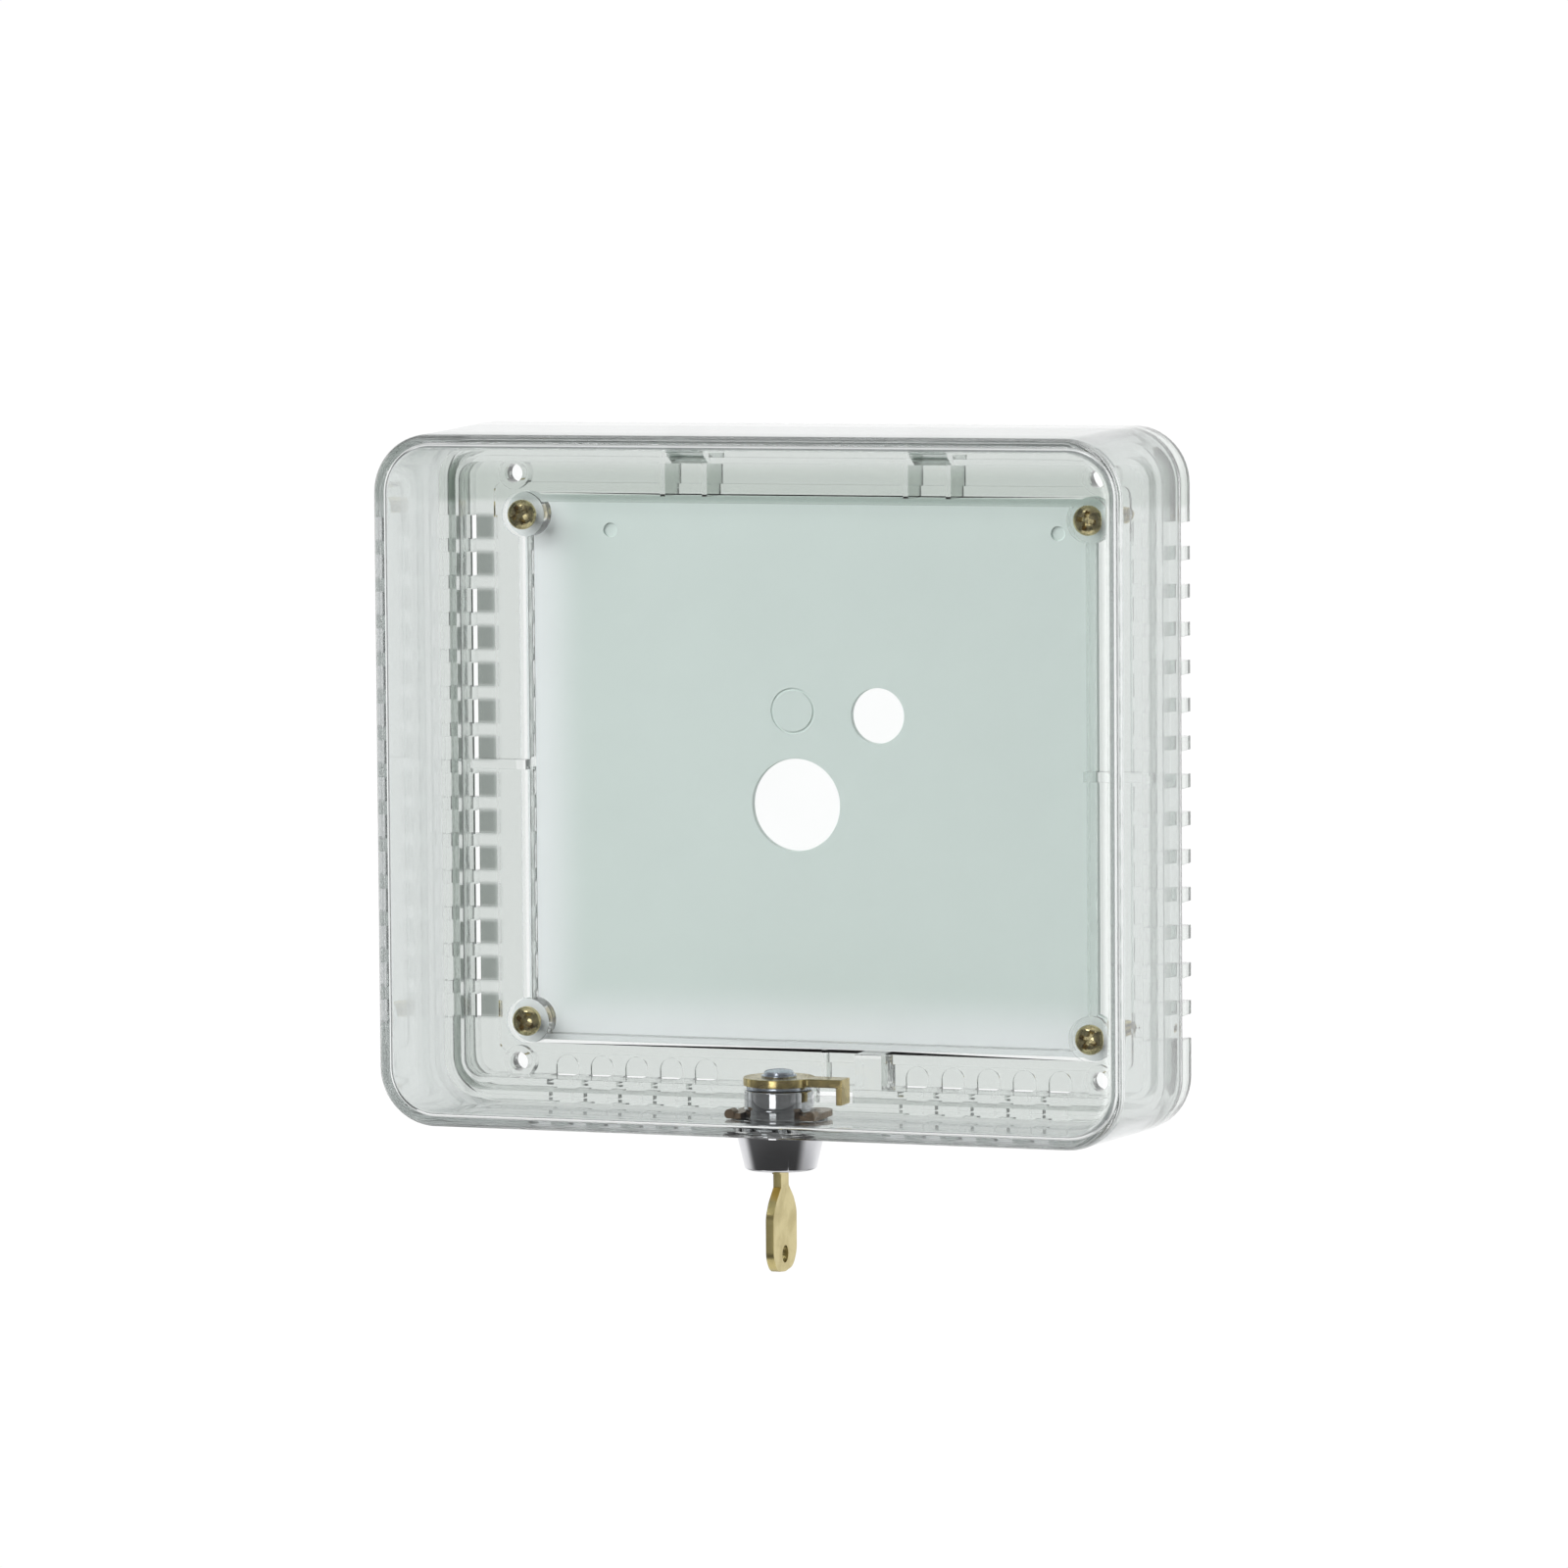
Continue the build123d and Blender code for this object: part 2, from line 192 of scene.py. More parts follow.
def coverZone(x, y, z):
    # the flat front is clear; everything behind it gets the grey tint, painted shade for the dimmer view
    # through the walls
    return y.ramp(*coverMarks["front"])


def coverShade(x, y, z):
    # painted shade: a dim rear lip for the shadow gap against the base, a dim top face, and a dark line
    # at the inner front edge
    lip = y.ramp(*coverMarks["lip"])
    top = z.ramp(*coverMarks["top"]) * coverMarks["topShare"]
    edge = y.ramp(*coverMarks["edgeFront"]) * fade(y, coverMarks["edgeRear"])
    inX = fade(x.math("ABSOLUTE"), coverMarks["insideX"])
    inZ = fade(z.math("ABSOLUTE"), coverMarks["insideZ"])
    return lip.math("MAXIMUM", top).math("MAXIMUM", edge * inX * inZ)


def baseShade(x, y, z):
    # painted shade on the top ledge, from the window up to the rim
    return z.ramp(*baseMarks["ledgeTop"]) * fade(z, baseMarks["ledgeEnd"])


def baseZone(x, y, z):
    # clear over the wallplate and the screw bosses; outside them the grey tint, painted shade for the
    # dimmer view through the ring
    outX = x.math("ABSOLUTE").ramp(*baseMarks["plateX"])
    outZ = z.math("ABSOLUTE").ramp(*baseMarks["plateZ"])
    fromX = x.math("ABSOLUTE") - baseMarks["screwX"]
    fromZ = z.math("ABSOLUTE") - baseMarks["screwZ"]
    boss = (fromX * fromX + fromZ * fromZ).math("SQRT").ramp(*baseMarks["boss"])
    return outX.math("MAXIMUM", outZ) * boss


def ventPocketShadow(x, y, z):
    # painted shadow in the pockets behind the left ledge: a band in x, squares of one vent pitch in z
    side = x * -1.0
    band = side.ramp(*baseMarks["pocketIn"]) * fade(side, baseMarks["pocketOut"])
    away = (z / baseMarks["ventPitch"]).math("FRACT") - 0.5
    square = fade(away.math("ABSOLUTE"), baseMarks["ventHalf"])
    row = fade(z.math("ABSOLUTE"), baseMarks["ventEnd"])
    return band * square * row * y.ramp(*baseMarks["pocketBack"])


def platePlastic(name, look):
    # satin opaque moulding with painted light: paler along its left and lower edges, where the clear base
    # pipes light to them, and painted shadow just below its top edge
    material, tree, shader = newMaterial(name, {"IOR": 1.46})
    place = objectPlace(tree)
    x, y, z = splitPlace(tree, place)
    # painted light: paler bands along the left and lower edges
    left = x.ramp(look["left"], look["left"] + look["glow"], 1.0, 0.0)
    low = z.ramp(look["low"], look["low"] + look["glow"], 1.0, 0.0)
    # painted shadow: a darker band just below the top edge
    top = z.ramp(look["top"] - look["shade"], look["top"], 0.0, 1.0)
    glow = left.math("MAXIMUM", low) * look["glowShare"]
    mottle = noise(tree, place, look["mottleScale"], 5) * look["mottle"]
    base = mixColours(tree, mottle, look["colour"], look["second"])
    lit = mixColours(tree, glow, base, look["edge"])
    shaded = mixColours(tree, top * look["shadeShare"], lit, look["shadow"])
    feed(tree, shaded, shader, "Base Color")
    grain = noise(tree, place, look["grainScale"], 2)
    sheen = noise(tree, place, look["sheenScale"], 4).ramp(0.3, 0.7, look["smooth"], look["rough"])
    feed(tree, sheen, shader, "Roughness")
    addBump(tree, shader, grain, look["grain"], look["grainHeight"])
    return material


def metalFinish(name, look):
    # plated or machined metal: blotchy tarnish, fine scratches, rougher where worn
    material, tree, shader = newMaterial(name, {"Metallic": 1.0})
    place = objectPlace(tree)
    blotch = noise(tree, place, look["blotchScale"], 4).ramp(*look["blotchRange"])
    speck = noise(tree, place, look["blotchScale"] * look["speckFiner"], 3).ramp(*look["speckRange"])
    colour = mixColours(tree, blotch * look["tarnish"], look["colour"], look["dull"])
    colour = mixColours(tree, speck * look["speck"], colour, look["dark"])
    feed(tree, colour, shader, "Base Color")
    feed(tree, blotch.ramp(0.0, 1.0, look["smooth"], look["rough"]), shader, "Roughness")
    stretch = shaderNode(tree, "ShaderNodeMapping", {}, {"Vector": place, "Scale": look["scratch"]})
    scratches = noise(tree, stretch, 1.0, 6, 0.6)
    addBump(tree, shader, scratches, look["scratchDepth"], look["scratchHeight"])
    return material


clearLook = {
    "ior": 1.49, "polish": 0.0, "zone": coverZone, "clear": (0.985, 0.99, 0.988),
    "zoneShade": (0.76, 0.785, 0.78), "dark": (0.62, 0.65, 0.64), "cloud": 0.12, "cloudScale": 38,
    "swirl": 0.03, "swirlScale": 90, "swirlHeight": 0.0002,
    "turnFrom": 0.62, "turnTo": 0.96, "turnShare": 0.9, "turnShadeColour": (0.16, 0.18, 0.18),
    "shaded": coverShade, "shadeShare": 0.9, "shadeColour": (0.16, 0.18, 0.18),
}
baseLook = {
    **clearLook, "polish": 0.03, "zone": baseZone, "clear": (0.99, 0.995, 0.99),
    "zoneShade": (0.74, 0.77, 0.75), "swirl": 0.15, "swirlScale": 220,
    "pocket": ventPocketShadow, "pocketColour": (0.30, 0.33, 0.31), "turnShare": 0.2,
    "shaded": baseShade, "shadeShare": 0.5, "shadeColour": (0.42, 0.48, 0.43),
}
plateLook = {
    "colour": (0.67, 0.76, 0.725), "second": (0.64, 0.725, 0.70), "edge": (0.93, 0.95, 0.97),
    "shadow": (0.40, 0.46, 0.45), "mottle": 0.5, "mottleScale": 60, "glow": 0.014, "glowShare": 0.7,
    "shade": 0.005, "shadeShare": 0.2, "left": -0.0703, "low": -0.0643, "top": 0.0643,
    "grain": 0.12, "grainScale": 2600, "grainHeight": 0.00006, "sheenScale": 180, "smooth": 0.42,
    "rough": 0.55,
}
metalLook = {
    "blotchRange": (0.35, 0.68), "speckRange": (0.55, 0.75), "speckFiner": 9, "scratchHeight": 0.00004,
}
brassLook = {
    **metalLook, "colour": (0.62, 0.49, 0.22), "dull": (0.40, 0.31, 0.15), "dark": (0.20, 0.14, 0.07),
    "tarnish": 0.5, "speck": 0.15, "smooth": 0.14, "rough": 0.32, "blotchScale": 160,
    "scratch": (900, 900, 120), "scratchDepth": 0.35,
}
keyLook = {
    **brassLook, "colour": (0.54, 0.46, 0.21), "dull": (0.42, 0.35, 0.16), "smooth": 0.3, "rough": 0.42,
}
screwLook = {
    **brassLook, "colour": (0.74, 0.64, 0.36), "dull": (0.36, 0.29, 0.15), "tarnish": 0.6, "speck": 0.4,
    "blotchScale": 520, "smooth": 0.1,
}
chromeLook = {
    **metalLook, "colour": (0.62, 0.62, 0.64), "dull": (0.52, 0.53, 0.56), "dark": (0.3, 0.3, 0.32),
    "tarnish": 0.4, "speck": 0.05, "smooth": 0.05, "rough": 0.11, "blotchScale": 120,
    "scratch": (700, 700, 160), "scratchDepth": 0.12,
}
steelLook = {
    **chromeLook, "colour": (0.60, 0.64, 0.72), "dull": (0.48, 0.50, 0.56), "smooth": 0.16, "rough": 0.3,
}
clipLook = {
    **chromeLook, "colour": (0.26, 0.19, 0.13), "dull": (0.13, 0.09, 0.06), "smooth": 0.25, "rough": 0.4,
}

coverClear = clearPlastic("coverClear", clearLook)
baseClear = clearPlastic("baseClear", baseLook)
platePaint = platePlastic("platePaint", plateLook)
brass = metalFinish("brass", brassLook)
keyBrass = metalFinish("keyBrass", keyLook)
screwBrass = metalFinish("screwBrass", screwLook)
chrome = metalFinish("chrome", chromeLook)
steel = metalFinish("steel", steelLook)
bronze = metalFinish("bronze", clipLook)
report("materials")


# faces of a box whose corners go round its low side, then round its high side
boxFaces = [(0, 1, 2, 3), (7, 6, 5, 4), (0, 4, 5, 1), (1, 5, 6, 2), (2, 6, 7, 3), (3, 7, 4, 0)]


def putMesh(name, points, faces, material, sharpDegrees=32):
    # a mesh object from arrays, smooth up to the given angle
    mesh = bpy.data.meshes.new(name)
    mesh.from_pydata(np.asarray(points).reshape(-1, 3).tolist(), [], faces)
    piece = bpy.data.objects.new(name, mesh)
    scene.collection.objects.link(piece)
    mesh.materials.append(material)
    smoothPiece(piece, sharpDegrees)
    return piece


def smoothPiece(piece, sharpDegrees):
    mesh = piece.data
    mesh.polygons.foreach_set("use_smooth", np.ones(len(mesh.polygons), bool))
    mesh.set_sharp_from_angle(angle=math.radians(sharpDegrees))
    mesh.update()


def gridFaces(rows, columns, closeRows=False, closeColumns=False, caps=False):
    # quads between neighbours of a rows by columns grid; caps closes the first and the last row
    u = np.arange(rows if closeRows else rows - 1)[:, None]
    v = np.arange(columns if closeColumns else columns - 1)[None, :]
    nextU = (u + 1) % rows
    nextV = (v + 1) % columns
    here, there = u * columns, nextU * columns
    quads = np.stack([here + v, here + nextV, there + nextV, there + v], -1)
    faces = quads.reshape(-1, 4).tolist()
    if caps:
        faces.append(list(range(columns))[::-1])
        faces.append(list(range((rows - 1) * columns, rows * columns)))
    return faces


def outwards(piece):
    # merges doubles, then turns every face to the outside
    work = bmesh.new()
    work.from_mesh(piece.data)
    bmesh.ops.remove_doubles(work, verts=work.verts, dist=1e-7)
    bmesh.ops.recalc_face_normals(work, faces=work.faces)
    work.to_mesh(piece.data)
    work.free()
    return piece


def boxLevels(halfX, halfZ, radius, depth, steps):
    # every level is a rounded rectangle: a quarter turn about each corner centre, pulled in by the radius
    turn = np.linspace(0, math.pi / 2, steps)
    corner = np.arange(4) * math.pi / 2
    angle = (corner[:, None] + turn[None, :]).ravel()
    signX = np.repeat(np.sign(np.cos(corner + math.pi / 4)), steps)
    signZ = np.repeat(np.sign(np.sin(corner + math.pi / 4)), steps)
    halfX, halfZ, radius, depth = (np.asarray(a, float)[:, None] for a in (halfX, halfZ, radius, depth))
    x = (halfX - radius) * signX + radius * np.cos(angle)
    z = (halfZ - radius) * signZ + radius * np.sin(angle)
    return np.stack([x, -depth + 0 * x, z], -1)


def lathe(name, profile, material, around=96, centre=(0, 0), sharpDegrees=32, closed=False):
    # turns (radius, height) pairs about an upright axis
    profile = np.asarray(profile, float)
    angle = np.arange(around) * tau / around
    x = centre[0] + profile[:, :1] * np.cos(angle)
    y = centre[1] + profile[:, :1] * np.sin(angle)
    z = profile[:, 1:] + 0 * x
    points = np.stack([x, y, z], -1)
    faces = gridFaces(len(profile), around, closeRows=closed, closeColumns=True, caps=not closed)
    return outwards(putMesh(name, points, faces, material, sharpDegrees))


copySet = {
    "weld": 2e-6, "flatDegrees": 0.6, "edgeDegrees": 30, "segments": 2, "sharpDegrees": 35, "weight": 80,
}


def softCopy(node, name, material, edge):
    # a copy of a CAD node with its flat triangles merged and every sharp edge rounded
    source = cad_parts[node]
    mesh = source.data.copy()
    work = bmesh.new()
    work.from_mesh(mesh)
    bmesh.ops.remove_doubles(work, verts=work.verts, dist=copySet["weld"])
    flat = math.radians(copySet["flatDegrees"])
    bmesh.ops.dissolve_limit(work, angle_limit=flat, verts=work.verts, edges=work.edges)
    work.to_mesh(mesh)
    work.free()
    mesh.materials.clear()
    mesh.materials.append(material)
    piece = bpy.data.objects.new(name, mesh)
    scene.collection.objects.link(piece)
    if mesh.has_custom_normals:
        with bpy.context.temp_override(object=piece, active_object=piece):
            bpy.ops.mesh.customdata_custom_splitnormals_clear()
    bevel = piece.modifiers.new("edges", "BEVEL")
    bevel.width = edge
    bevel.segments = copySet["segments"]
    bevel.limit_method = "ANGLE"
    bevel.angle_limit = math.radians(copySet["edgeDegrees"])
    bevel.use_clamp_overlap = True
    bevel.miter_outer = "MITER_ARC"
    return flatten(bake(piece, copySet["sharpDegrees"]))


def applied(piece):
    # the mesh with its modifiers worked into it
    bpy.context.view_layer.update()
    graph = bpy.context.evaluated_depsgraph_get()
    made = bpy.data.meshes.new_from_object(piece.evaluated_get(graph))
    piece.modifiers.clear()
    piece.data = made
    return piece


def flatten(piece):
    # lets the large faces set the shading of the rounded edges beside them
    weigh = piece.modifiers.new("weigh", "WEIGHTED_NORMAL")
    weigh.keep_sharp = True
    weigh.weight = copySet["weight"]
    return applied(piece)


def bake(piece, sharpDegrees=35):
    # turns the modifiers into plain mesh, then sets smooth faces
    applied(piece)
    smoothPiece(piece, sharpDegrees)
    return piece


def carve(piece, cutter, operation):
    # joins or cuts with another closed mesh, which is then removed
    tool = piece.modifiers.new("carve", "BOOLEAN")
    tool.operation = operation
    tool.solver = "EXACT"
    tool.object = cutter
    bake(piece)
    bpy.data.objects.remove(cutter)
    return piece


def settle(piece, body, node):
    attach(piece, body)
    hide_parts(node)
    return piece


cameraSet = {
    "lens": 183.2, "place": (0.6307, -1.7936, 0.1553), "yaw": 0.342, "pitch": 0.083, "roll": -0.007,
}


def addCamera(look):
    yaw, pitch, roll = look["yaw"], look["pitch"], look["roll"]
    level = math.cos(pitch)
    ahead = Vector((-math.sin(yaw) * level, math.cos(yaw) * level, -math.sin(pitch)))
    right = ahead.cross(Vector((0, 0, 1))).normalized()
    up = right.cross(ahead)
    turnedRight = math.cos(roll) * right + math.sin(roll) * up
    turnedUp = math.cos(roll) * up - math.sin(roll) * right
    data = bpy.data.cameras.new("camera")
    data.lens = look["lens"]
    data.sensor_width = 36
    data.clip_end = 100
    camera = bpy.data.objects.new("camera", data)
    turn = Matrix((turnedRight, turnedUp, -ahead)).transposed()
    camera.matrix_world = Matrix.Translation(look["place"]) @ turn.to_4x4()
    scene.collection.objects.link(camera)
    scene.camera = camera


stageSet = {"floorZ": -1.4, "floorHalf": 1.2, "floorColour": (0.92, 0.92, 0.92)}


def addFloor(look):
    half, z = look["floorHalf"], look["floorZ"]
    corners = [(-half, -half, z), (half, -half, z), (half, half, z), (-half, half, z)]
    material = newMaterial("floorPaint", {"Base Color": look["floorColour"], "Roughness": 0.9})[0]
    floor = putMesh("floor", corners, [(0, 1, 2, 3)], material)


worldSet = {
    "seen": 1.02, "back": 1.14, "front": 0.16, "top": 0.8, "farShare": 0.4,
    "turn": (-0.3, 0.2), "level": (0.28, 0.6), "overhead": (0.6, 0.85),
}


def addWorld(look):
    # plain white behind the object, dim in front and away from eye level, soft light from overhead
    world = bpy.data.worlds.new("studio")
    world.use_nodes = True
    tree = world.node_tree
    place = shaderNode(tree, "ShaderNodeTexCoord", out=0)
    x, y, z = splitPlace(tree, place)
    light = y.ramp(*look["turn"], look["front"], look["back"])
    light = light * z.math("ABSOLUTE").ramp(*look["level"], 1.0, look["farShare"])
    light = light + z.ramp(*look["overhead"], 0.0, look["top"])
    isCamera = shaderNode(tree, "ShaderNodeLightPath")
    strength = isCamera * look["seen"] + (1 - isCamera) * light
    background = tree.nodes["Background"]
    tree.links.new(strength.socket, background.inputs["Strength"])
    background.inputs["Color"].default_value = (1, 1, 1, 1)
    scene.world = world


lampSet = [
    {
        "name": "keyPanel", "place": (-1.1, -0.9, 0.82), "aim": (0, 0, 0), "size": (1.5, 1.2),
        "power": 33.0, "mirrored": False,
    },
    {
        "name": "frontPanel", "place": (-0.06, -1.7, -0.15), "aim": (0, 0, -0.08), "size": (0.6, 0.5),
        "power": 2.4, "mirrored": True,
    },
    {
        "name": "stripPanel", "place": (-0.5, -1.2, 1.1), "aim": (0, 0, 0), "size": (0.5, 0.14),
        "power": 1.6, "mirrored": True,
    },
]


def addLamp(look):
    data = bpy.data.lights.new(look["name"], "AREA")
    data.shape = "RECTANGLE"
    data.size, data.size_y = look["size"]
    data.energy = look["power"]
    lamp = bpy.data.objects.new(look["name"], data)
    place = Vector(look["place"])
    turn = (place - Vector(look["aim"])).to_track_quat("Z", "Y").to_matrix().to_4x4()
    lamp.matrix_world = Matrix.Translation(place) @ turn
    lamp.visible_camera = False
    lamp.visible_glossy = look["mirrored"]
    lamp.visible_transmission = look["mirrored"]
    scene.collection.objects.link(lamp)


addCamera(cameraSet)
addFloor(stageSet)
addWorld(worldSet)
for lamp in lampSet:
    addLamp(lamp)
scene.view_settings.view_transform = "Standard"
# many clear walls lie behind one another, so rays need many bounces
bounceSet = {
    "max_bounces": 40, "transmission_bounces": 36, "glossy_bounces": 36, "transparent_max_bounces": 24,
}
for key, bounces in bounceSet.items():
    setattr(scene.cycles, key, bounces)
report("camera and studio")


coverSet = {
    "halfX": 93.65 * mm, "halfZ": 83.35 * mm, "lean": 1.25 * mm, "rearDepth": 6.8 * mm, "depth": 52 * mm,
    "wall": 2.5 * mm, "rearCorner": 13.5 * mm, "frontCorner": 14.0 * mm, "frontEdge": 3.0 * mm,
    "innerEdge": 1.4 * mm, "lip": 0.5 * mm, "cornerSteps": 20, "edgeSteps": 9,
    "leanFrom": 6.5 * mm, "flatSteps": np.array([1.2, 6.0]) * mm, "leastCorner": 0.5 * mm,
}


def coverShell(look):
    # one closed skin: outer front, rounded edge, drafted side, rear lip, inner side, edge and front
    edgeTurn = np.linspace(0, math.pi / 2, look["edgeSteps"])

    def leanAt(depth):
        return look["lean"] * (depth - look["leanFrom"]) / (look["depth"] - look["leanFrom"])

    def side(inset, edge, endDepth, startDepth, cornerLoss):
        bendDepth = endDepth - edge
        straight = np.linspace(startDepth, bendDepth, 5)
        share = (straight - look["rearDepth"]) / (look["depth"] - look["rearDepth"])
        corner = look["rearCorner"] + share * (look["frontCorner"] - look["rearCorner"]) - cornerLoss
        insetNow = inset + leanAt(straight)
        drop = edge * (1 - np.cos(edgeTurn))
        bendInset = inset + leanAt(bendDepth) + drop
        bendAt = bendDepth + edge * np.sin(edgeTurn)
        bendCorner = corner[-1] - drop
        flatInset = bendInset[-1] + look["flatSteps"]
        flatCorner = np.maximum(bendCorner[-1] - look["flatSteps"], look["leastCorner"])
        insets = np.concatenate([insetNow, bendInset[1:], flatInset])
        depths = np.concatenate([straight, bendAt[1:], [endDepth, endDepth]])
        corners = np.concatenate([corner, bendCorner[1:], flatCorner])
        return insets, depths, corners

    lip, wall = look["lip"], look["wall"]
    outer = side(0, look["frontEdge"], look["depth"], look["rearDepth"] + lip, 0)
    inner = side(wall, look["innerEdge"], look["depth"] - wall, look["rearDepth"] + lip, wall)
    lipTurn = np.linspace(0, math.pi / 2, 5)
    outerLip = (lip * (1 - np.cos(lipTurn)), look["rearDepth"] + lip * (1 - np.sin(lipTurn)))
    innerLip = (wall - outerLip[0], outerLip[1])
    insets = np.concatenate([outer[0][::-1], outerLip[0][1:], innerLip[0][::-1][:-1], inner[0]])
    depths = np.concatenate([outer[1][::-1], outerLip[1][1:], innerLip[1][::-1][:-1], inner[1]])
    rearCorners = look["rearCorner"] - np.concatenate([outerLip[0][1:], innerLip[0][::-1][:-1]])
    corners = np.concatenate([outer[2][::-1], rearCorners, inner[2]])
    halfX, halfZ = look["halfX"] - insets, look["halfZ"] - insets
    points = boxLevels(halfX, halfZ, corners, depths, look["cornerSteps"])
    faces = gridFaces(len(insets), points.shape[1], closeColumns=True, caps=True)
    return outwards(putMesh("coverShell", points, faces, coverClear, 30))


past = 1 * mm  # how far a cutter stands out of what it cuts
lockSet = {
    "depth": 26 * mm, "barrel": 8.3 * mm, "barrelTop": -73.2 * mm, "seat": -83.4 * mm, "pad": 11.6 * mm,
    "padTop": -79.9 * mm, "collar": 10.45 * mm, "collarFace": 8.7 * mm, "face": -92.2 * mm,
    "padRound": 0.35 * mm, "holeGap": 0.06 * mm,
}
lockCentre = (0, -lockSet["depth"])

cover = coverShell(coverSet)
padOut, padLow, padHigh, padRound = (lockSet[key] for key in ("pad", "seat", "padTop", "padRound"))
padProfile = [
    (padOut - padRound, padLow), (padOut, padLow + padRound),
    (padOut, padHigh - padRound), (padOut - padRound, padHigh),
]
pad = lathe("pad", padProfile, coverClear, 96, lockCentre)
carve(cover, pad, "UNION")
holeRadius = lockSet["barrel"] + lockSet["holeGap"]
holeProfile = [(holeRadius, padLow - past), (holeRadius, padHigh + past)]
carve(cover, lathe("hole", holeProfile, coverClear, 96, lockCentre), "DIFFERENCE")

hookSet = {
    "places": (-27 * mm, 34 * mm), "width": 8.4 * mm, "axis": (-6.5 * mm, 83.35 * mm), "inner": 7.2 * mm,
    "outer": 8.8 * mm, "root": 12.0, "tip": 78.0, "steps": 17,
}


def hookArc(look, x):
    # a bar bent about the cover's axis: a small rectangle carried round an arc
    angle = np.radians(np.linspace(180 + look["root"], 180 + look["tip"], look["steps"]))[:, None]
    radius = np.array([look["inner"], look["outer"], look["outer"], look["inner"]])[None, :]
    along = x + np.array([-1, -1, 1, 1])[None, :] * look["width"] / 2 + 0 * angle
    y = look["axis"][0] + radius * np.cos(angle)
    z = look["axis"][1] + radius * np.sin(angle)
    points = np.stack([along, y, z], -1)
    faces = gridFaces(look["steps"], 4, closeColumns=True, caps=True)
    return outwards(putMesh("hook", points, faces, coverClear))


for x in hookSet["places"]:
    carve(cover, hookArc(hookSet, x), "UNION")
smoothPiece(cover, 30)
cover.visible_shadow = False  # clear, so the lamps light what stands behind it
settle(cover, "cover", "cover_shell")
report("cover")


base = softCopy("ring_base", "ringBase", baseClear, 0.22 * mm)
base.visible_shadow = False
settle(base, "root", "ring_base")
plate = softCopy("wallplate", "backPlate", platePaint, 0.25 * mm)
settle(plate, "root", "wallplate")
report("base and plate")


screwSet = {
    "spots": [(x * mm, z * mm) for x in (-71.25, 71.25) for z in (-61.25, 61.25)],
    "head": 3.6 * mm, "seat": 7.0 * mm, "top": 9.3 * mm, "shank": 1.8 * mm, "crest": 2.0 * mm,
    "root": 1.55 * mm, "pitch": 1.4 * mm, "threadEnd": -0.6 * mm, "tipStart": -20.0 * mm,
    "tip": -23.0 * mm, "tipShare": 0.06, "around": 48, "rim": 0.15 * mm, "domeFrom": 0.6 * mm,
    "turns": (0.5, 1.1, 2.0, 0.2),
    "recess": 1.7 * mm, "recessLong": 2.6 * mm, "recessWide": 0.62 * mm,
}


def crossCutter(look):
    # two tapered bars across each other, wide at the face of the head
    base = look["top"] - look["recess"]
    face = look["top"] + 0.5 * mm
    points = []
    for turned in (False, True):
        for depth, spread in ((base, 0.55), (face, 1.15)):
            long, wide = look["recessLong"] * spread, look["recessWide"] * (0.6 + 0.4 * spread)
            for a, b in ((-long, -wide), (long, -wide), (long, wide), (-long, wide)):
                points.append((b if turned else a, -depth, a if turned else b))
    first = outwards(putMesh("slotOne", points[:8], boxFaces, screwBrass))
    second = outwards(putMesh("slotTwo", points[8:], boxFaces, screwBrass))
    return carve(first, second, "UNION")


def wallScrew(look):
    # lathe profile with a helical thread: the ridge follows depth over pitch minus the share of a turn
    thread = np.arange(look["tip"], look["threadEnd"], look["pitch"] / 8)
    taper = np.clip((thread - look["tip"]) / (look["tipStart"] - look["tip"]), look["tipShare"], 1)
    dome = np.linspace(0, math.pi / 2 - 0.03, 14)
    domeStart = look["seat"] + look["domeFrom"]
    profile = [(look["shank"], look["threadEnd"] + 0.3 * mm), (look["shank"], look["seat"])]
    rim = look["rim"]
    profile += [(look["head"] - rim, look["seat"]), (look["head"], look["seat"] + rim)]
    domeRadius = look["head"] * np.cos(dome) ** 0.9
    domeDepth = domeStart + (look["top"] - domeStart) * np.sin(dome) ** 1.1
    radius = np.concatenate([look["root"] * taper, [p[0] for p in profile], domeRadius])
    depth = np.concatenate([thread, [p[1] for p in profile], domeDepth])
    angle = np.arange(look["around"]) * tau / look["around"]
    turn = (depth[:, None] / look["pitch"] - angle[None, :] / tau) % 1.0
    ridge = np.clip(1 - np.abs(turn - 0.5) * 4, 0, 1) * (look["crest"] - look["root"])
    cut = np.zeros(len(radius))
    cut[:len(thread)] = taper
    grown = radius[:, None] + ridge * cut[:, None]
    along = -depth[:, None] + 0 * grown
    points = np.stack([grown * np.cos(angle), along, grown * np.sin(angle)], -1)
    faces = gridFaces(len(radius), look["around"], closeColumns=True, caps=True)
    screw = outwards(putMesh("wallScrew", points, faces, screwBrass, 50))
    return carve(screw, crossCutter(look), "DIFFERENCE")


def copyTo(piece, name, offsets, turns):
    # one mesh that holds turned copies of a piece, each about its own Y axis
    source = piece.data
    count = len(source.vertices)
    flat = np.empty(count * 3)
    source.vertices.foreach_get("co", flat)
    local = flat.reshape(-1, 3)
    placed = []
    for (x, z), turn in zip(offsets, turns):
        c, s = math.cos(turn), math.sin(turn)
        turnedX = x + c * local[:, 0] + s * local[:, 2]
        turnedZ = z - s * local[:, 0] + c * local[:, 2]
        placed.append(np.stack([turnedX, local[:, 1], turnedZ], -1))
    faces = [[v + i * count for v in p.vertices] for i in range(len(offsets)) for p in source.polygons]
    made = putMesh(name, np.concatenate(placed), faces, source.materials[0], 40)
    bpy.data.objects.remove(piece)
    return outwards(made)


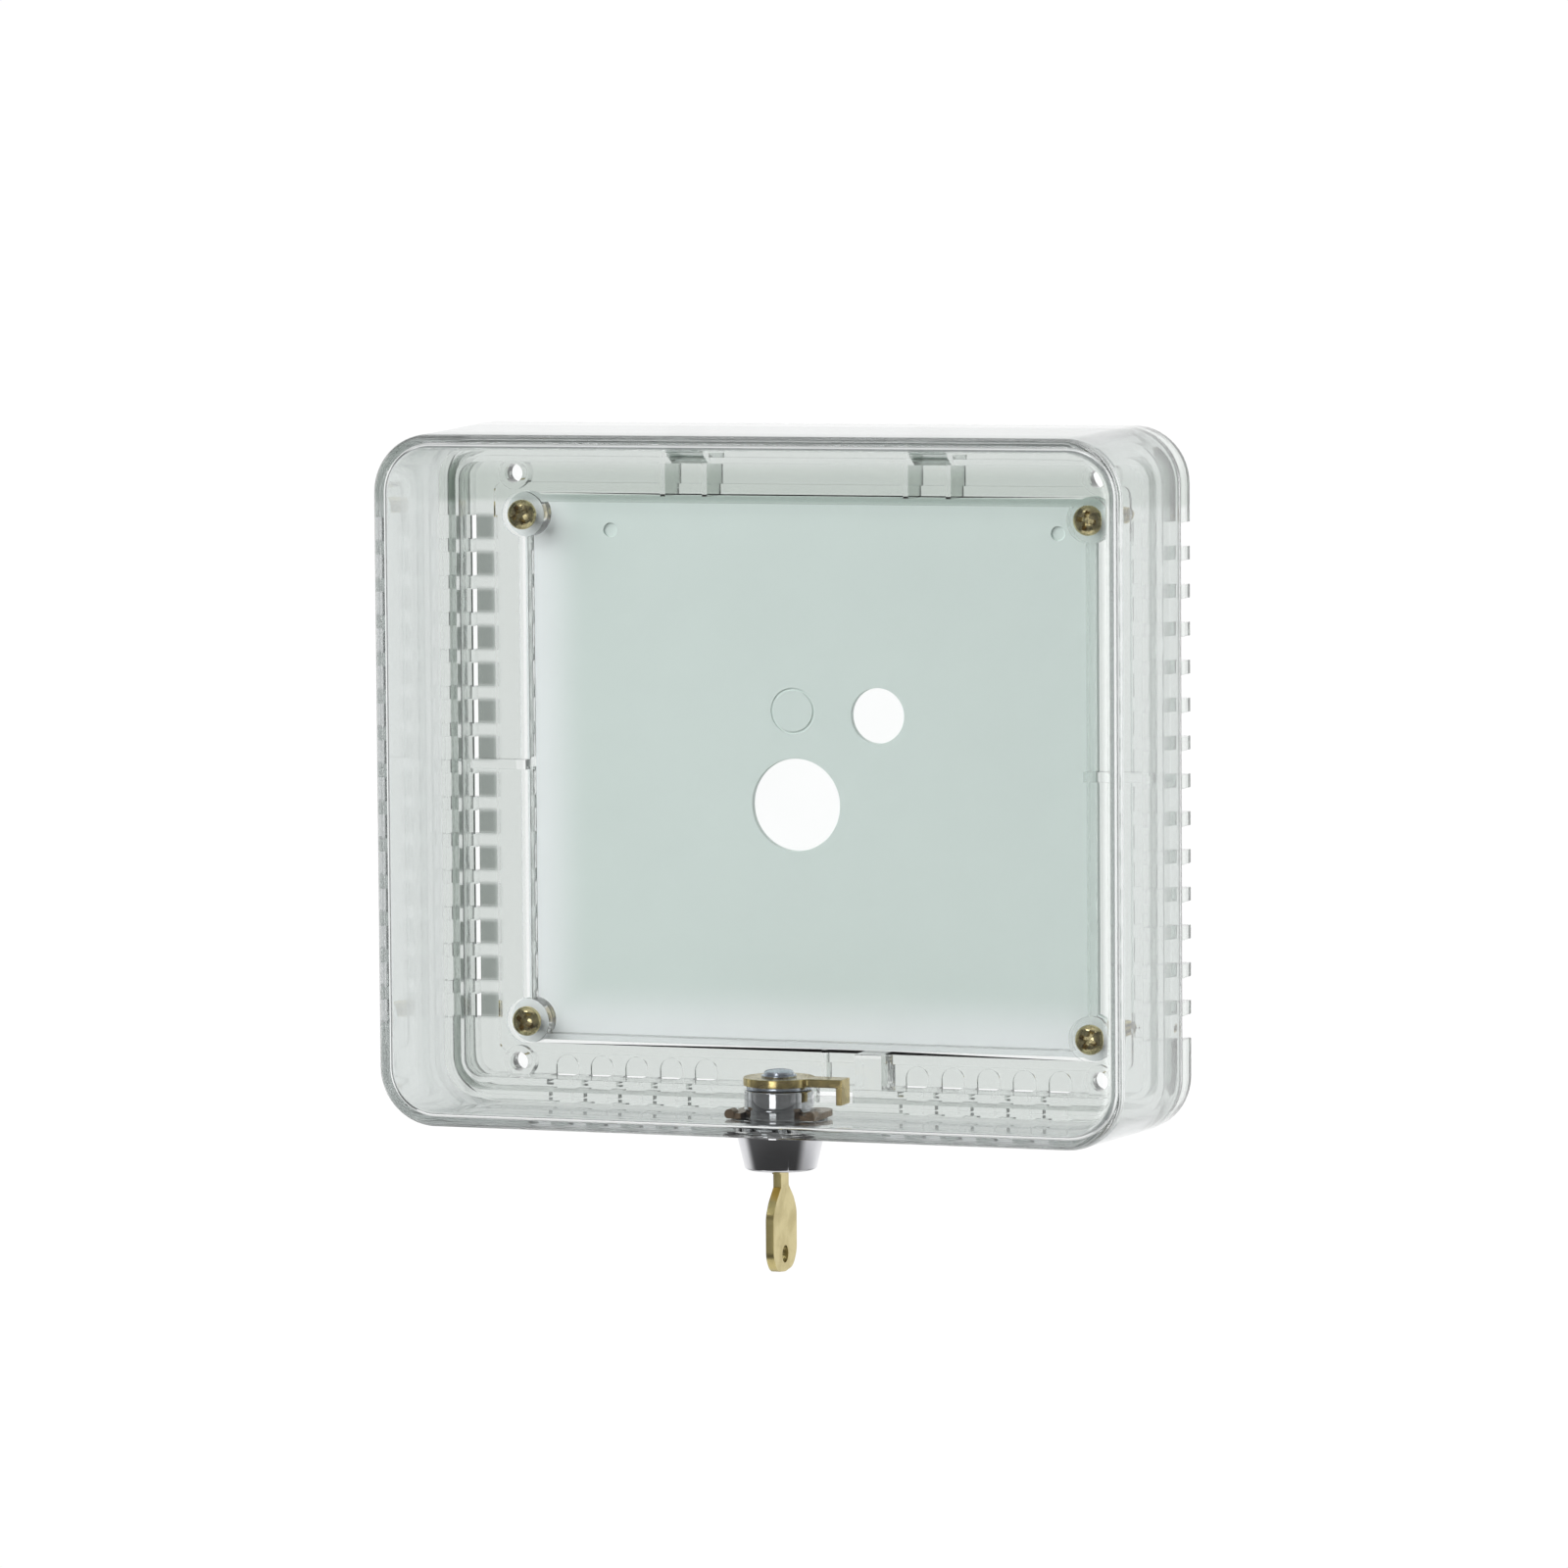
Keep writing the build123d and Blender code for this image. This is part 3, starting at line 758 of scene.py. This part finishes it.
screws = copyTo(wallScrew(screwSet), "wallScrews", screwSet["spots"], screwSet["turns"])
smoothPiece(screws, 40)
settle(screws, "root", "mounting_screws")
report("wall screws")


def arcPoints(centre, radius, first, last, steps=5):
    # points of an arc in the plane of a lathe profile
    angle = np.radians(np.linspace(first, last, steps))
    return list(zip(centre[0] + radius * np.cos(angle), centre[1] + radius * np.sin(angle)))


housingSet = {
    **lockSet, "bore": 5.85 * mm, "counterBore": 6.55 * mm, "counterDepth": 1.5 * mm, "flange": 0.9 * mm,
    "round": 0.35 * mm, "groove": -77.4 * mm, "grooveHalf": 0.3 * mm, "grooveDeep": 0.35 * mm,
    "grooveSlope": 0.12 * mm, "mouthEdge": 0.15 * mm, "flat": 7.4 * mm, "flatHalf": 9.9 * mm,
    "flatHigh": 1.4 * mm, "waferWide": 2.75 * mm, "waferReach": 6.55 * mm, "waferLow": -89.0 * mm,
    "waferHigh": -76.6 * mm,
}


def lockHousing(look):
    # one closed profile: tapered collar, flange, grooved barrel, rounded top rim, bore and counterbore
    r = look["round"]
    collar, seat, face, top = look["collar"], look["seat"], look["face"], look["barrelTop"]
    flangeLow = seat - look["flange"]
    taper = math.degrees(math.atan2(collar - look["collarFace"], flangeLow - face))
    profile = arcPoints((look["collarFace"] - 2 * r, face + 2 * r), 2 * r, -90, -taper, 7)
    profile += arcPoints((collar - r, flangeLow + 0.2 * mm), r, -taper, 0, 3)
    profile += arcPoints((collar - r, seat - r), r, 0, 90)
    profile += [(look["barrel"], seat)]
    low, high = look["groove"] - look["grooveHalf"], look["groove"] + look["grooveHalf"]
    grooveFloor = look["barrel"] - look["grooveDeep"]
    slope, edge = look["grooveSlope"], look["mouthEdge"]
    profile += [(look["barrel"], low), (grooveFloor, low + slope)]
    profile += [(grooveFloor, high - slope), (look["barrel"], high)]
    profile += arcPoints((look["barrel"] - r, top - r), r, 0, 90)
    profile += [(look["bore"], top), (look["bore"], face + look["counterDepth"])]
    profile += [(look["counterBore"], face + look["counterDepth"]), (look["counterBore"], face + edge)]
    profile += [(look["counterBore"] + edge, face)]
    body = lathe("lockHousing", profile, chrome, 128, lockCentre, 28, closed=True)
    for side in (-1, 1):
        near, far = side * look["flat"], side * (look["barrel"] + past)
        y0, y1 = lockCentre[1] - look["flatHalf"], lockCentre[1] + look["flatHalf"]
        z0, z1 = look["padTop"], look["padTop"] + look["flatHigh"]
        flat = ((near, y0), (far, y0), (far, y1), (near, y1))
        corners = [(x, y, z) for z in (z0, z1) for x, y in flat]
        carve(body, outwards(putMesh("flatCut", corners, boxFaces, chrome)), "DIFFERENCE")
    # crossed channels that the wafers stand out into
    wide, reach = look["waferWide"], look["waferReach"]
    for halfX, halfY in ((wide, reach), (reach, wide)):
        flat = ((-halfX, -halfY), (halfX, -halfY), (halfX, halfY), (-halfX, halfY))
        levels = (look["waferLow"], look["waferHigh"])
        corners = [(x, lockCentre[1] + y, z) for z in levels for x, y in flat]
        carve(body, outwards(putMesh("waferCut", corners, boxFaces, chrome)), "DIFFERENCE")
    smoothPiece(body, 28)
    return body


settle(lockHousing(housingSet), "cover", "lock_housing")

camScrewSet = {
    "head": 3.5 * mm, "low": -69.7 * mm, "high": -68.4 * mm, "shank": 1.5 * mm, "root": 1.28 * mm,
    "end": -74.4 * mm, "pitch": 0.7 * mm, "slotHalf": 0.45 * mm, "slotDeep": 0.6 * mm, "slotTurn": 0.5,
    "edge": 0.1 * mm, "domeFrom": 0.55 * mm, "around": 64,
}


def camScrew(look):
    # low domed head with a straight slot, fine rings for the thread below it
    thread = np.arange(look["end"], look["low"], look["pitch"] / 4)
    wave = np.abs((thread / look["pitch"]) % 1.0 - 0.5) * 2
    profile = list(zip(look["root"] + (look["shank"] - look["root"]) * wave, thread))
    edge, domeStart = look["edge"], look["low"] + look["domeFrom"]
    profile += [(look["shank"], look["low"]), (look["head"] - edge, look["low"])]
    profile += [(look["head"], look["low"] + edge), (look["head"], domeStart)]
    dome = np.linspace(0.15, math.pi / 2 - 0.04, 9)
    rise = look["high"] - domeStart
    profile += list(zip(look["head"] * np.cos(dome) ** 0.8, domeStart + rise * np.sin(dome)))
    body = lathe("camScrew", profile, steel, look["around"], lockCentre, 40)
    wide, long = look["slotHalf"], look["head"] + past
    levels = (look["high"] - look["slotDeep"], look["high"] + past)
    c, s = math.cos(look["slotTurn"]), math.sin(look["slotTurn"])
    flat = [(-long, -wide), (long, -wide), (long, wide), (-long, wide)]
    corners = [(c * a - s * b, lockCentre[1] + s * a + c * b, z) for z in levels for a, b in flat]
    carve(body, outwards(putMesh("slotCut", corners, boxFaces, steel)), "DIFFERENCE")
    smoothPiece(body, 40)
    return body


settle(camScrew(camScrewSet), "lock_core", "cam_screw")
report("lock housing and cam screw")

finishes = {
    "retaining_clip": ("lockClip", bronze, "cover", "clip_bronze", 0.2),
    "lock_plug": ("lockPlug", brass, "lock_core", "lock_brass", 0.1),
    "stop_washer": ("stopWasher", steel, "lock_core", "lock_steel", 0.1),
    "lock_cam": ("lockCam", brass, "lock_core", "lock_brass", 0.22),
    "spring_washer": ("crownWasher", steel, "lock_core", "lock_steel", 0.08),
    "key": ("flatKey", keyBrass, "key", "key_brass", 0.3),
}
for node, (name, material, body, slot, edge) in finishes.items():
    piece = softCopy(node, name, material, edge * mm)
    settle(piece, body, node)
for node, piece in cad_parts.items():
    if node.startswith("wafer"):
        piece.data.materials.clear()
        piece.data.materials.append(steel if "spring" in node else brass)
report("metal parts")
